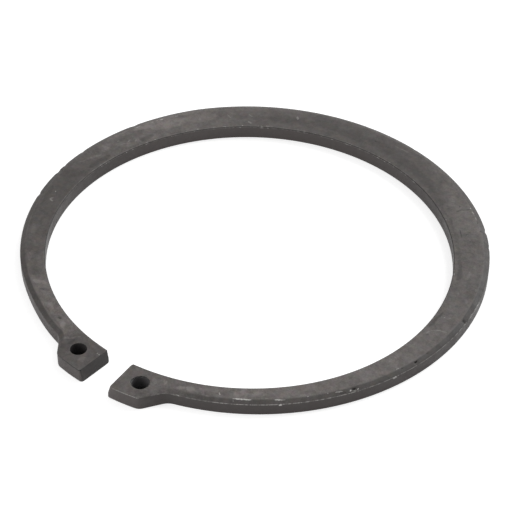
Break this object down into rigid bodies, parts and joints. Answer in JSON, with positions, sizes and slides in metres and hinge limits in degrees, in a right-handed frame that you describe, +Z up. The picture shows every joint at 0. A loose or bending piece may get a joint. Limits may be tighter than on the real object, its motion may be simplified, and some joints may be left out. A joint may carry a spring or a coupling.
{
  "type": "external retaining ring",
  "caption": "Flat open spring-steel ring for a shaft groove, widest at the back, tapering to two lugs with plier holes at the gap.",
  "frame": {"origin": "centre of the bore, on the underside that the ring rests on", "axes": "+Z up along the bore's axis, through the plate's thickness; the gap between the lugs is at -Y"},
  "size_m": [0.1304, 0.1345, 0.004],
  "materials": {
    "dark_steel": "dark phosphate coat on spring steel, dull, with rubbed brighter edges"
  },
  "bodies": {
    "root": {"ring": "dark_steel"}
  },
  "joints": []
}
